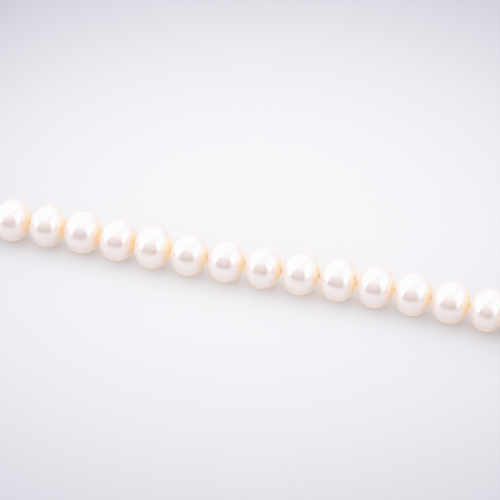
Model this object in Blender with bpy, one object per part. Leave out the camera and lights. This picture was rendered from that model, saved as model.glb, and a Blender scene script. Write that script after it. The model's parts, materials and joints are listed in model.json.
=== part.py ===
"""A single strand of off-round pearls with a lobster clasp, laid open on a flat surface.

Metres, +Z up. The strand lies in a wide U. +X runs along its straight front and +Y towards its two
open ends, with the clasp on the -X side and the catch ring on the +X side. The origin is on the
surface, at the middle of the necklace's outline. Every pearl is its own object whose origin is the
point it turns on, so the strand is a chain of parents from the middle pearl out to both ends.
"""

import math
import random
from collections import namedtuple

import bmesh
import bpy
from mathutils import Matrix, Vector

# Pearls
PEARL_COUNT = 45  # odd, so that one pearl is the middle one
PEARL_DIAMETER = 0.0092  # across the drill hole
PEARL_LENGTH = 0.0077  # along the drill hole
PEARL_GAP = 0.00035  # between neighbours, on the strand's line
PEARL_FULLNESS = 2.15  # superellipse power of the outline: 2 is an ellipse, more is squarer
DIAMETER_SPREAD = 0.018  # share by which one pearl may differ from the next
LENGTH_SPREAD = 0.022
OUT_OF_ROUND = 0.014
PEARL_SIDES = 12
PEARL_STEPS = 8
MATCHING_SEED = 11

# Silk
SILK_RADIUS = 0.00025
SILK_CLEARANCE = 0.0003  # round the silk in a drill hole
DRILL_RADIUS = SILK_RADIUS + SILK_CLEARANCE
SILK_HEIGHT = PEARL_DIAMETER / 2
KNOT_SWELL = 2.3  # the knot's radius, in silk radii
KNOT_FROM_PEARL = 0.0009
KNOT_HALF_LENGTH = 0.0005

# How the strand lies: distance along it from the middle pearl, and its heading there in degrees
LIE = (
    (-0.230, -84.0),
    (-0.104, -76.0),
    (-0.061, 3.0),
    (-0.047, 2.0),
    (-0.038, -2.0),
    (-0.030, -3.5),
    (-0.022, -1.5),
    (-0.012, 1.0),
    (0.000, 1.5),
    (0.008, 3.0),
    (0.016, 1.5),
    (0.026, -1.5),
    (0.038, -1.5),
    (0.048, -2.5),
    (0.061, -3.0),
    (0.104, 76.0),
    (0.230, 84.0),
)

# Jump rings, which stand upright between the silk's loops and what they carry
JUMP_RADIUS = 0.0022  # to the middle of the wire
JUMP_WIRE = 0.0004
JUMP_HEIGHT = JUMP_RADIUS + JUMP_WIRE
JUMP_FROM_STRAND = 0.0069  # ring's centre, past the last pearl's outer gap

# Gimp, the fine metal coil that guards each loop of silk
GIMP_CLEARANCE = 0.00009  # round the silk in the gimp
GIMP_BORE = SILK_RADIUS + GIMP_CLEARANCE
GIMP_WALL = 0.00011
GIMP_RADIUS = GIMP_BORE + GIMP_WALL
GIMP_START = 0.0022
LINK_CLEARANCE = 0.00015
LOOP_START = 0.0019
LOOP_EASE = 0.00025  # beside the jump ring's wire, inside the loop
LOOP_RADIUS = JUMP_WIRE + LOOP_EASE + GIMP_RADIUS
NECK_GAP = 0.0002  # between the loop's two legs
LOOP_NECK = GIMP_RADIUS + NECK_GAP / 2
LOOP_TIP = JUMP_FROM_STRAND - JUMP_RADIUS + JUMP_WIRE + GIMP_RADIUS + LINK_CLEARANCE
LOOP_FALL = (SILK_HEIGHT - JUMP_HEIGHT) / LOOP_TIP

# Catch ring, which leans from its jump ring down to the surface
CATCH_RADIUS = 0.0028
CATCH_WIRE = 0.0005
CATCH_HANG_ANGLE = math.radians(45)

# Lobster clasp, measured from the centre of its tail's eye
CLASP_THICKNESS = 0.0026
CLASP_EDGE = 0.0003
TAIL_THICKNESS = 0.0009
TAIL_BELOW_TOP = 0.0004
TAIL_HIGH = CLASP_THICKNESS - TAIL_BELOW_TOP
TAIL_LOW = TAIL_HIGH - TAIL_THICKNESS
LOW_LEAN = math.asin((JUMP_HEIGHT - TAIL_LOW) / JUMP_RADIUS)  # ring's wire, at the tail's foot
HIGH_LEAN = math.asin((JUMP_HEIGHT - TAIL_HIGH) / JUMP_RADIUS)  # and at its top
WIRE_NEAR = JUMP_RADIUS * math.cos(LOW_LEAN) - JUMP_WIRE / math.cos(LOW_LEAN)
WIRE_FAR = JUMP_RADIUS * math.cos(HIGH_LEAN) + JUMP_WIRE / math.cos(HIGH_LEAN)
EYE_CLEARANCE = 0.0001545  # round the ring's wire in the tail's eye
TAIL_EYE = (WIRE_FAR - WIRE_NEAR) / 2 + EYE_CLEARANCE
TAIL_WALL = 0.0009
TAIL_RADIUS = TAIL_EYE + TAIL_WALL
EYE_SHIFT = 0.0000255  # the eye's centre, past the middle of the wire
TAIL_FROM_JUMP = (WIRE_NEAR + WIRE_FAR) / 2 + EYE_SHIFT
HUB_REAR = TAIL_EYE + 0.0003
HUB_FRONT = 0.0049
HUB_REAR_HALF = 0.0013
HUB_HALF = 0.0019
CLAW_CENTRE = (0.0072, 0.0)
CLAW_OUTER = (0.0040, 0.0032)
CLAW_INNER = (0.0023, 0.00175)
RIVET_AT = (0.0037, -0.0006)
RIVET_RADIUS = 0.0004
RIVET_CLEARANCE = 0.0001
RIVET_INSET = 0.0001
SLOT_REAR = 0.0020
SLOT_DEPTH_PAST_RIVET = 0.00135
LEVER_THICKNESS = 0.0010
LEVER_CLEARANCE = 0.00015  # above and below the lever in its slot
SLOT_HEIGHT = LEVER_THICKNESS + 2 * LEVER_CLEARANCE
LEVER_HUB = 0.0010
LEVER_OUTER = (CLAW_OUTER[0] - 0.0004, CLAW_OUTER[1] - 0.00028)
LEVER_INNER = (CLAW_INNER[0] + 0.0004, CLAW_INNER[1] + 0.00025)
LEVER_TAB = 0.0013
GATE_GAP = 0.0003
TIP_PAST_CENTRE = 0.0020
TIP_REACH = CLAW_CENTRE[0] - RIVET_AT[0] + TIP_PAST_CENTRE  # rivet to the claw's end
SPRING_WIRE = 0.00009
SPRING_CLEARANCE = 0.00006

RING_SIDES = 8
RING_STEPS = 24
ROUND_STEPS = 24

Finish = namedtuple("Finish", "name colour roughness metallic")
NACRE = Finish("nacre", (0.93, 0.88, 0.82), 0.16, 0.0)
SILK = Finish("silk", (0.90, 0.88, 0.83), 0.70, 0.0)
GILT = Finish("gilt", (0.86, 0.66, 0.34), 0.20, 1.0)
STEEL = Finish("spring_steel", (0.55, 0.55, 0.57), 0.35, 1.0)

Pearl = namedtuple("Pearl", "number length height width")
Placed = namedtuple("Placed", "pearl frame reach obj")


# Helpers


def clear_scene():
    for obj in list(bpy.data.objects):
        bpy.data.objects.remove(obj, do_unlink=True)


def material_of(finish):
    found = bpy.data.materials.get(finish.name)
    if found:
        return found
    made = bpy.data.materials.new(finish.name)
    made.use_nodes = True
    shader = made.node_tree.nodes["Principled BSDF"]
    shader.inputs["Base Color"].default_value = (*finish.colour, 1.0)
    shader.inputs["Roughness"].default_value = finish.roughness
    shader.inputs["Metallic"].default_value = finish.metallic
    return made


def shift(x=0.0, y=0.0, z=0.0):
    return Matrix.Translation((x, y, z))


def turn(angle, axis):
    return Matrix.Rotation(angle, 4, axis)


def add_object(name, data, finish, frame, parent, parent_frame):
    """One object at a frame in the assembly, held by its parent."""
    obj = bpy.data.objects.new(name, data)
    data.materials.append(material_of(finish))
    bpy.context.scene.collection.objects.link(obj)
    obj.parent = parent
    local = parent_frame.inverted() @ frame
    obj.location = local.to_translation()
    obj.rotation_euler = local.to_euler()
    return obj


def mesh_from(name, shape, smooth_below=60):
    bmesh.ops.recalc_face_normals(shape, faces=shape.faces)
    mesh = bpy.data.meshes.new(name)
    shape.to_mesh(mesh)
    shape.free()
    mesh.shade_smooth()
    mesh.set_sharp_from_angle(angle=math.radians(smooth_below))
    return mesh


def spun(name, profile, axis, steps):
    """A closed outline turned right round an axis through the origin."""
    shape = bmesh.new()
    corners = [shape.verts.new(point) for point in profile]
    edges = [shape.edges.new((a, b)) for a, b in zip(corners, corners[1:] + corners[:1])]
    bmesh.ops.spin(
        shape,
        geom=corners + edges,
        cent=(0, 0, 0),
        axis=axis,
        angle=math.tau,
        steps=steps,
        use_merge=True,
    )
    bmesh.ops.remove_doubles(shape, verts=shape.verts, dist=1e-7)
    return mesh_from(name, shape)


def prism(name, outline, low, high):
    """A flat outline in XY given thickness from low to high."""
    shape = bmesh.new()
    face = shape.faces.new([shape.verts.new((x, y, low)) for x, y in outline])
    raised = bmesh.ops.extrude_face_region(shape, geom=[face])
    top = [item for item in raised["geom"] if isinstance(item, bmesh.types.BMVert)]
    bmesh.ops.translate(shape, verts=top, vec=(0, 0, high - low))
    return mesh_from(name, shape)


def arc(centre, radii, start, end, steps):
    """Points on an ellipse's arc, from start to end in degrees."""
    angles = [math.radians(start + (end - start) * i / steps) for i in range(steps + 1)]
    return [
        (centre[0] + radii[0] * math.cos(angle), centre[1] + radii[1] * math.sin(angle))
        for angle in angles
    ]


def disc(centre, radius, start=0, end=360, steps=ROUND_STEPS):
    points = arc(centre, (radius, radius), start, end, steps)
    return points[:-1] if end - start == 360 else points


def tube_curve(name, points, radius, swells=None, filled=True, sides=8):
    """A tube along a polyline. A swell is a point's radius in tube radii."""
    curve = bpy.data.curves.new(name, "CURVE")
    curve.dimensions = "3D"
    curve.bevel_depth = radius
    curve.bevel_resolution = (sides - 4) // 2
    curve.use_fill_caps = filled
    spline = curve.splines.new("POLY")
    spline.points.add(len(points) - 1)
    for i, point in enumerate(points):
        spline.points[i].co = (*point, 1.0)
        spline.points[i].radius = swells[i] if swells else 1.0
    return curve


def cut_or_join(target, name, mesh, operation):
    """Cuts or joins a helper shape that has the target's own frame."""
    helper = bpy.data.objects.new(name, mesh)
    bpy.context.scene.collection.objects.link(helper)
    helper.parent = target
    helper.hide_render = True
    helper.display_type = "WIRE"
    boolean = target.modifiers.new(name, "BOOLEAN")
    boolean.operation = operation
    boolean.solver = "EXACT"
    boolean.object = helper


# Pearls


def pearl_sizes(number):
    """The size of one pearl of the matched strand, counted from the clasp end."""
    chance = random.Random(MATCHING_SEED * 1000 + number)
    height = PEARL_DIAMETER * (1 + chance.uniform(-DIAMETER_SPREAD, DIAMETER_SPREAD))
    length = PEARL_LENGTH * (1 + chance.uniform(-LENGTH_SPREAD, LENGTH_SPREAD))
    width = height * (1 + chance.uniform(-OUT_OF_ROUND, OUT_OF_ROUND))
    return Pearl(number, length, height, width)


def pearl_mesh(name, pearl, middle):
    """A drilled pearl along X. Its middle is given, and it rests on the surface."""
    radius = pearl.height / 2
    power = 2 / PEARL_FULLNESS
    mouth = math.asin((DRILL_RADIUS / radius) ** (1 / power))
    profile = []
    for i in range(PEARL_STEPS + 1):
        angle = mouth + (math.pi - 2 * mouth) * i / PEARL_STEPS
        along = math.copysign(abs(math.cos(angle)) ** power, math.cos(angle))
        profile.append((pearl.length / 2 * along, 0.0, radius * math.sin(angle) ** power))
    mesh = spun(name, profile, (1, 0, 0), PEARL_SIDES)
    flattened = Matrix.Diagonal((1, pearl.width / pearl.height, 1, 1))
    mesh.transform(shift(middle, 0, radius - SILK_HEIGHT) @ flattened)
    return mesh


def heading_at(distance):
    """The strand's direction at a distance from the middle pearl, in radians from +X."""
    for (start, before), (end, after) in zip(LIE, LIE[1:]):
        if distance <= end:
            share = max(0.0, (distance - start) / (end - start))
            return math.radians(before + (after - before) * share)
    return math.radians(LIE[-1][1])


def lay_pearls(assembly):
    """Places the pearls from the middle out, and returns them in order from the clasp end."""
    middle_number = (PEARL_COUNT + 1) // 2
    pearl = pearl_sizes(middle_number)
    name = f"pearl_{middle_number:02d}"
    reach = (pearl.length + PEARL_GAP) / 2
    frame = shift(z=SILK_HEIGHT) @ turn(heading_at(0), "Z")
    obj = add_object(name, pearl_mesh(name, pearl, 0), NACRE, frame, assembly, Matrix())
    middle = Placed(pearl, frame, reach, obj)
    strand = {middle_number: middle}
    for side in (-1, 1):
        inner = middle
        inner_end = frame @ shift(side * reach)
        distance = reach
        for step in range(1, middle_number):
            number = middle_number + side * step
            pearl = pearl_sizes(number)
            name = f"pearl_{number:02d}"
            link = pearl.length + PEARL_GAP
            heading = heading_at(side * (distance + link / 2)) + (0 if side > 0 else math.pi)
            pivot = shift(*inner_end.to_translation()) @ turn(heading, "Z")
            mesh = pearl_mesh(name, pearl, link / 2)
            obj = add_object(name, mesh, NACRE, pivot, inner.obj, inner.frame)
            inner = Placed(pearl, pivot, link, obj)
            strand[number] = inner
            inner_end = pivot @ shift(link)
            distance += link
    return [strand[number] for number in sorted(strand)]


def end_frame(last):
    """The frame of an end of the strand: on the surface, under the last gap, with +X outwards."""
    return last.frame @ shift(last.reach, 0, -SILK_HEIGHT)


# Silk and gimp


def loop_points(start):
    """A loop of silk in an end's frame, from its +Y leg at start, round the jump ring and back."""
    centre = LOOP_TIP - LOOP_RADIUS
    share = (start - LOOP_START) / (centre - LOOP_START)
    neck = LOOP_NECK + (LOOP_RADIUS - LOOP_NECK) * share
    flat = [(start, neck)] + arc((centre, 0), (LOOP_RADIUS, LOOP_RADIUS), 90, -90, 8)
    flat.append((start, -neck))
    return [Vector((x, y, SILK_HEIGHT - LOOP_FALL * x)) for x, y in flat]


def silk_end(last):
    """The silk past a last pearl: its knot, then its loop. Each point comes with its swell."""
    frame = end_frame(last)
    knot = []
    for share, swell in ((-1, 1), (-0.5, 0.9), (0, 1), (0.5, 0.9), (1, 1)):
        x = KNOT_FROM_PEARL + share * KNOT_HALF_LENGTH
        size = KNOT_SWELL * swell if abs(share) < 1 else 1.0
        knot.append((Vector((x, 0, SILK_HEIGHT - LOOP_FALL * x)), size))
    loop = [(point, 1.0) for point in loop_points(LOOP_START)]
    return [(frame @ point, swell) for point, swell in knot + loop]


def add_silk(assembly, strand):
    """One silk from loop to loop, through every drill hole."""
    route = list(reversed(silk_end(strand[0])))
    middle = len(strand) // 2
    for i, placed in enumerate(strand):
        if i < middle:
            route.append((placed.frame @ Vector((placed.reach, 0, 0)), 1.0))
        if i == middle:
            route.append((strand[i - 1].frame.to_translation(), 1.0))
        if i > middle:
            route.append((placed.frame.to_translation(), 1.0))
    route.append((strand[-1].frame @ Vector((strand[-1].reach, 0, 0)), 1.0))
    points = [point for point, _ in route]
    swells = [swell for _, swell in route]
    curve = tube_curve("stringing_silk", points, SILK_RADIUS, swells)
    add_object("stringing_silk", curve, SILK, Matrix(), assembly, Matrix())


def add_gimp(name, last):
    """The coil that guards a loop of silk, as its outer shape with its bore."""
    curve = tube_curve(name, loop_points(GIMP_START), GIMP_BORE, filled=False)
    obj = add_object(name, curve, GILT, end_frame(last), last.obj, last.frame)
    wall = obj.modifiers.new("wall", "SOLIDIFY")
    wall.thickness = GIMP_WALL
    wall.offset = 1.0


# Rings


def ring_mesh(name, radius, wire, axis):
    """A ring of round wire about its own centre."""
    flat = disc((radius, 0), wire, steps=RING_SIDES)
    profile = [(x, 0, y) if axis == (0, 0, 1) else (x, y, 0) for x, y in flat]
    return spun(name, profile, axis, RING_STEPS)


def add_jump_ring(name, last):
    """An upright jump ring whose origin is where its wire passes through the silk's loop."""
    pivot = end_frame(last) @ shift(JUMP_FROM_STRAND - JUMP_RADIUS, 0, JUMP_HEIGHT)
    mesh = ring_mesh(name, JUMP_RADIUS, JUMP_WIRE, (0, 1, 0))
    mesh.transform(shift(JUMP_RADIUS))
    return add_object(name, mesh, GILT, pivot, last.obj, last.frame), pivot


def add_catch_ring(jump_ring, jump_frame):
    """The ring the clasp hooks on. It turns on the jump ring's centre and leans on the surface."""
    centre = jump_frame @ shift(JUMP_RADIUS)
    hang = JUMP_RADIUS - JUMP_WIRE - CATCH_WIRE - LINK_CLEARANCE
    near_x = hang * math.cos(CATCH_HANG_ANGLE)
    near_z = -hang * math.sin(CATCH_HANG_ANGLE)
    drop = JUMP_HEIGHT + near_z - CATCH_WIRE
    lean = math.asin(drop / (2 * CATCH_RADIUS))
    mesh = ring_mesh("catch_ring", CATCH_RADIUS, CATCH_WIRE, (0, 0, 1))
    mesh.transform(shift(near_x, 0, near_z) @ turn(lean, "Y") @ shift(CATCH_RADIUS))
    add_object("catch_ring", mesh, GILT, centre, jump_ring, jump_frame)


# Clasp


def body_outline():
    """The clasp body seen from above: the hub, then the claw round its eye, out to its tip."""
    inner_end = claw_angle_at(CLAW_INNER, TIP_REACH)
    outer_end = claw_angle_at(CLAW_OUTER, TIP_REACH)
    outline = [(HUB_REAR, -HUB_REAR_HALF), (SLOT_REAR, -HUB_HALF), (HUB_FRONT, -HUB_HALF)]
    outline += arc(CLAW_CENTRE, CLAW_INNER, 200, inner_end, 18)
    outline += arc(CLAW_CENTRE, CLAW_OUTER, outer_end, 150, 20)
    outline.append((HUB_REAR, HUB_REAR_HALF))
    return outline


def claw_angle_at(radii, reach):
    """The angle, in degrees, where the claw's ellipse is this far from the rivet, on the gate side."""
    best = min(
        range(-900, -99),
        key=lambda tenth: abs(
            math.dist(RIVET_AT, arc(CLAW_CENTRE, radii, tenth / 10, tenth / 10, 1)[0]) - reach
        ),
    )
    return best / 10


def lever_outline():
    """The lever seen from above: a disc on the rivet, the thumb tab, and the gate to the tip."""
    reach = TIP_REACH - GATE_GAP
    x, y = RIVET_AT
    outline = disc(RIVET_AT, LEVER_HUB, 20, 215, 10)
    tab_low = -HUB_HALF - LEVER_TAB
    outline += [(x - 0.9 * LEVER_HUB, tab_low + LEVER_HUB / 4), (x - 0.6 * LEVER_HUB, tab_low)]
    outline += [(x + 0.1 * LEVER_HUB, tab_low), (x + 0.4 * LEVER_HUB, tab_low + LEVER_HUB / 4)]
    outer_end = claw_angle_at(LEVER_OUTER, reach)
    inner_end = claw_angle_at(LEVER_INNER, reach - GATE_GAP)
    outline += arc(CLAW_CENTRE, LEVER_OUTER, -142, outer_end, 8)
    outline += arc(CLAW_CENTRE, LEVER_INNER, inner_end, -150, 8)
    return outline


def add_clasp(jump_ring, jump_frame):
    """The lobster clasp. It turns on the jump ring's centre, and its lever turns on its rivet."""
    centre = jump_frame @ shift(JUMP_RADIUS)
    to_centre = shift(TAIL_FROM_JUMP, 0, -JUMP_HEIGHT)

    def placed(mesh):
        mesh.transform(to_centre)
        return mesh

    body_mesh = placed(prism("clasp_body", body_outline(), 0, CLASP_THICKNESS))
    body = add_object("clasp_body", body_mesh, GILT, centre, jump_ring, jump_frame)
    edge = body.modifiers.new("worn_edge", "BEVEL")
    edge.width = CLASP_EDGE
    edge.segments = 2
    edge.angle_limit = math.radians(50)
    tail = placed(prism("tail_form", disc((0, 0), TAIL_RADIUS), TAIL_LOW, TAIL_HIGH))
    cut_or_join(body, "tail_form", tail, "UNION")
    eye = placed(prism("tail_eye_cut", disc((0, 0), TAIL_EYE), -TAIL_LOW, 2 * CLASP_THICKNESS))
    cut_or_join(body, "tail_eye_cut", eye, "DIFFERENCE")
    mid = CLASP_THICKNESS / 2
    x, y = RIVET_AT
    slot_outline = [
        (SLOT_REAR, -CLASP_THICKNESS * 2),
        (HUB_FRONT + HUB_HALF, -CLASP_THICKNESS * 2),
        (HUB_FRONT + HUB_HALF, y + SLOT_DEPTH_PAST_RIVET),
        (SLOT_REAR, y + SLOT_DEPTH_PAST_RIVET),
    ]
    slot = prism("slot_cut", slot_outline, mid - SLOT_HEIGHT / 2, mid + SLOT_HEIGHT / 2)
    cut_or_join(body, "slot_cut", placed(slot), "DIFFERENCE")
    bore = prism(
        "rivet_bore_cut",
        disc(RIVET_AT, RIVET_RADIUS + RIVET_CLEARANCE, steps=16),
        -CLASP_THICKNESS,
        2 * CLASP_THICKNESS,
    )
    cut_or_join(body, "rivet_bore_cut", placed(bore), "DIFFERENCE")

    rivet_frame = centre @ to_centre @ shift(x, y)
    rivet_outline = disc((0, 0), RIVET_RADIUS, steps=16)
    rivet = prism("clasp_rivet", rivet_outline, RIVET_INSET, CLASP_THICKNESS - RIVET_INSET)
    add_object("clasp_rivet", rivet, STEEL, rivet_frame, body, centre)

    low = mid - LEVER_THICKNESS / 2
    lever_mesh = prism("clasp_lever", lever_outline(), low, low + LEVER_THICKNESS)
    lever_mesh.transform(shift(-x, -y))
    lever = add_object("clasp_lever", lever_mesh, GILT, rivet_frame, body, centre)
    lever_bore = prism(
        "lever_bore_cut",
        disc((0, 0), RIVET_RADIUS + RIVET_CLEARANCE, steps=16),
        -CLASP_THICKNESS,
        2 * CLASP_THICKNESS,
    )
    cut_or_join(lever, "lever_bore_cut", lever_bore, "DIFFERENCE")

    radius = LEVER_HUB + SPRING_CLEARANCE + SPRING_WIRE
    bow = [Vector((px, py, mid)) for px, py in disc((0, 0), radius, 40, 170, 10)]
    spring = tube_curve("clasp_spring", bow, SPRING_WIRE, sides=6)
    add_object("clasp_spring", spring, STEEL, rivet_frame, body, centre)


# Assembly


def centre_on_outline(assembly):
    """Moves the assembly so that its outline's middle is on the origin."""
    bpy.context.view_layer.update()
    graph = bpy.context.evaluated_depsgraph_get()
    corners = []
    for obj in bpy.data.objects:
        if obj.type == "EMPTY" or obj.hide_render:
            continue
        evaluated = obj.evaluated_get(graph)
        mesh = evaluated.to_mesh()
        corners += [evaluated.matrix_world @ vertex.co for vertex in mesh.vertices]
        evaluated.to_mesh_clear()
    for axis in (0, 1):
        values = [corner[axis] for corner in corners]
        assembly.location[axis] = -(min(values) + max(values)) / 2
    assembly.location.z = -min(corner.z for corner in corners)
    bpy.context.view_layer.update()


def build():
    clear_scene()
    assembly = bpy.data.objects.new("necklace", None)
    bpy.context.scene.collection.objects.link(assembly)
    strand = lay_pearls(assembly)
    add_silk(assembly, strand)
    add_gimp("clasp_gimp", strand[0])
    add_gimp("catch_gimp", strand[-1])
    add_clasp(*add_jump_ring("clasp_jump_ring", strand[0]))
    add_catch_ring(*add_jump_ring("catch_jump_ring", strand[-1]))
    centre_on_outline(assembly)


if __name__ == "__main__":
    build()
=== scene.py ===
"""The looks of a single-strand pearl necklace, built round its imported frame.

Every pearl, ring, loop of silk and clasp piece is a finished mesh that rides on its own body of the
frame. Lengths are in metres, +Z is up, and the necklace lies open on the floor at Z = 0.
"""

from __future__ import annotations

import json
import logging
import math
import random
from collections.abc import Iterable, Mapping, Sequence
from dataclasses import dataclass, field
from enum import Enum
from typing import Any

import bmesh
import bpy
from mathutils import Matrix, Vector


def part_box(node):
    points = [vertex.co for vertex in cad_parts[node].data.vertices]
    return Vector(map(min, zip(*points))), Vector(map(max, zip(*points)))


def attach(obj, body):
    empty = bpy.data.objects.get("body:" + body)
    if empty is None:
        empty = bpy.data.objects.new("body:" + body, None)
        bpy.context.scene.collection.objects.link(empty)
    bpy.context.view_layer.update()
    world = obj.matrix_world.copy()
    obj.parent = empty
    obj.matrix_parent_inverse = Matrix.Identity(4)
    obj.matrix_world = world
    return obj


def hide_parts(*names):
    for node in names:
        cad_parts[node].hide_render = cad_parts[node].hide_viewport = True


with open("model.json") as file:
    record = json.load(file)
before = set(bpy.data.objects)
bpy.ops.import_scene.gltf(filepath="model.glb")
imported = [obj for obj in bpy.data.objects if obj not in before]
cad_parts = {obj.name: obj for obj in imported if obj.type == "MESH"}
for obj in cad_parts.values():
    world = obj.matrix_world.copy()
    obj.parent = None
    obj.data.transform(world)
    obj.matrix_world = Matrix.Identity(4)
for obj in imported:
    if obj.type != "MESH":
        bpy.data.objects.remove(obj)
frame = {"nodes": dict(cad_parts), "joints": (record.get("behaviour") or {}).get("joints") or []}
LOG = logging.getLogger("necklace")
MM = 0.001
MERGED = 0.0005 * MM
ALMOST_STRAIGHT = math.radians(150)
CAST_EDGE = math.radians(38)
TURNED_EDGE = math.radians(50)
UP = Vector((0, 0, 1))
Outline = list[tuple[float, float]]


# Node trees


class Signal:
    """One socket of a node tree, with Python's arithmetic on its number."""

    def __init__(self, graph: "Graph", socket: bpy.types.NodeSocket) -> None:
        """Wraps a socket of a graph."""
        self.graph = graph
        self.socket = socket

    def __add__(self, other: "Number") -> "Signal":
        """Adds."""
        return self.graph.math("ADD", self, other)

    __radd__ = __add__

    def __sub__(self, other: "Number") -> "Signal":
        """Subtracts."""
        return self.graph.math("SUBTRACT", self, other)

    def __rsub__(self, other: "Number") -> "Signal":
        """Is subtracted from a number."""
        return self.graph.math("SUBTRACT", other, self)

    def __mul__(self, other: "Number") -> "Signal":
        """Multiplies."""
        return self.graph.math("MULTIPLY", self, other)

    __rmul__ = __mul__

    def __truediv__(self, other: "Number") -> "Signal":
        """Divides."""
        return self.graph.math("DIVIDE", self, other)

    def __rtruediv__(self, other: "Number") -> "Signal":
        """Divides a number."""
        return self.graph.math("DIVIDE", other, self)

    def __pow__(self, power: "Number") -> "Signal":
        """Raises to a power."""
        return self.graph.math("POWER", self, power)

    def __abs__(self) -> "Signal":
        """Drops the sign."""
        return self.graph.math("ABSOLUTE", self)

    def clamped(self) -> "Signal":
        """Keeps the number from 0 to 1."""
        return self.graph.math("MAXIMUM", self.graph.math("MINIMUM", self, 1.0), 0.0)

    def smooth(self, low: float, high: float) -> "Signal":
        """Rises smoothly from 0 at low to 1 at high."""
        found = self.graph.node(
            "ShaderNodeMapRange",
            {"interpolation_type": "SMOOTHSTEP"},
            {"Value": self, "From Min": low, "From Max": high},
        )
        return Signal(self.graph, found.outputs["Result"])


Number = Signal | float


class Graph:
    """A node tree that is written as Python expressions."""

    def __init__(self, tree: bpy.types.NodeTree) -> None:
        """Wraps a tree.

        Args:
            tree: The node tree that new nodes are added to.
        """
        self.tree = tree

    def node(
        self,
        kind: str,
        settings: Mapping[str, Any] | None = None,
        inputs: Mapping[str | int, Any] | None = None,
    ) -> bpy.types.Node:
        """Adds any node.

        Args:
            kind: The node's type.
            settings: The node's own properties, which are set first.
            inputs: The value or the link of each socket, by name or number.

        Returns:
            The new node.
        """
        made = self.tree.nodes.new(kind)
        for name, value in (settings or {}).items():
            setattr(made, name, value)
        for key, value in (inputs or {}).items():
            socket = made.inputs[key]
            if isinstance(value, Signal):
                value = value.socket
            if isinstance(value, bpy.types.NodeSocket):
                self.tree.links.new(value, socket)
            else:
                socket.default_value = value
        return made

    def signal(
        self,
        kind: str,
        settings: Mapping[str, Any] | None = None,
        inputs: Mapping[str | int, Any] | None = None,
        output: str | int = 0,
    ) -> Signal:
        """Adds a node and gives one of its outputs.

        Args:
            kind: The node's type.
            settings: The node's own properties.
            inputs: The value or the link of each socket.
            output: The name or number of the output.

        Returns:
            That output.
        """
        return Signal(self, self.node(kind, settings, inputs).outputs[output])

    def math(self, operation: str, *values: Number) -> Signal:
        """Adds a Math node for one operation on numbers."""
        return self.signal("ShaderNodeMath", {"operation": operation}, dict(enumerate(values)))

    def vector(self, operation: str, *values: Any, output: str = "Vector") -> Signal:
        """Adds a Vector Math node for one operation on vectors."""
        kind = "ShaderNodeVectorMath"
        return self.signal(kind, {"operation": operation}, dict(enumerate(values)), output)

    def part(self, vector: Signal, axis: int) -> Signal:
        """One of a vector's three numbers."""
        return self.signal("ShaderNodeSeparateXYZ", inputs={0: vector}, output=axis)

    def scaled(self, vector: Signal, factor: Number) -> Signal:
        """A vector times a number."""
        inputs = {"Vector": vector, "Scale": factor}
        return self.signal("ShaderNodeVectorMath", {"operation": "SCALE"}, inputs, "Vector")

    def blend(self, factor: Number, first: Any, second: Any, mode: str = "MIX") -> Signal:
        """Mixes two colours by a factor from 0 to 1."""
        settings = {"data_type": "RGBA", "blend_type": mode}
        inputs = {0: factor, 6: first, 7: second}
        return self.signal("ShaderNodeMix", settings, inputs, 2)


class GeometryGraph(Graph):
    """A Geometry Nodes tree with named inputs, which ends in real geometry with one finish."""

    def __init__(self, name: str) -> None:
        """Starts an empty tree."""
        super().__init__(bpy.data.node_groups.new(name, "GeometryNodeTree"))
        interface = self.tree.interface
        interface.new_socket("Geometry", in_out="OUTPUT", socket_type="NodeSocketGeometry")
        interface.new_socket("Geometry", in_out="INPUT", socket_type="NodeSocketGeometry")
        self.entry = self.tree.nodes.new("NodeGroupInput")

    def size(self, name: str, default: float) -> Signal:
        """Adds a named number to the tree's inputs."""
        socket = self.tree.interface.new_socket(name, in_out="INPUT", socket_type="NodeSocketFloat")
        socket.default_value = default
        return Signal(self, self.entry.outputs[name])

    def finish(self, geometry: Signal) -> None:
        """Ends the tree: instances are made real, and the tree's own finish is set."""
        socket_type = "NodeSocketMaterial"
        self.tree.interface.new_socket("Finish", in_out="INPUT", socket_type=socket_type)
        real = self.signal("GeometryNodeRealizeInstances", inputs={0: geometry})
        inputs = {"Geometry": real, "Material": Signal(self, self.entry.outputs["Finish"])}
        dressed = self.signal("GeometryNodeSetMaterial", inputs=inputs)
        exit_node = self.tree.nodes.new("NodeGroupOutput")
        self.tree.links.new(dressed.socket, exit_node.inputs["Geometry"])

    def grow(
        self, source: bpy.types.ID, sizes: Mapping[str, float], finish: bpy.types.Material
    ) -> bpy.types.Mesh:
        """Runs the tree on a mesh or curve.

        Args:
            source: The mesh or curve that the tree starts from.
            sizes: A value for each named number.
            finish: The material of the result.

        Returns:
            A plain mesh of its own.
        """
        holder = bpy.data.objects.new("holder", source)
        bpy.context.scene.collection.objects.link(holder)
        modifier = holder.modifiers.new("grow", "NODES")
        modifier.node_group = self.tree
        for item in self.tree.interface.items_tree:
            if item.in_out != "INPUT":
                continue
            if item.name in sizes:
                modifier[item.identifier] = float(sizes[item.name])
            if item.name == "Finish":
                modifier[item.identifier] = finish
        bpy.context.view_layer.update()
        graph = bpy.context.evaluated_depsgraph_get()
        evaluated = holder.evaluated_get(graph)
        mesh = bpy.data.meshes.new_from_object(evaluated, depsgraph=graph)
        bpy.data.objects.remove(holder)
        return mesh


# Finishes


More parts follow.
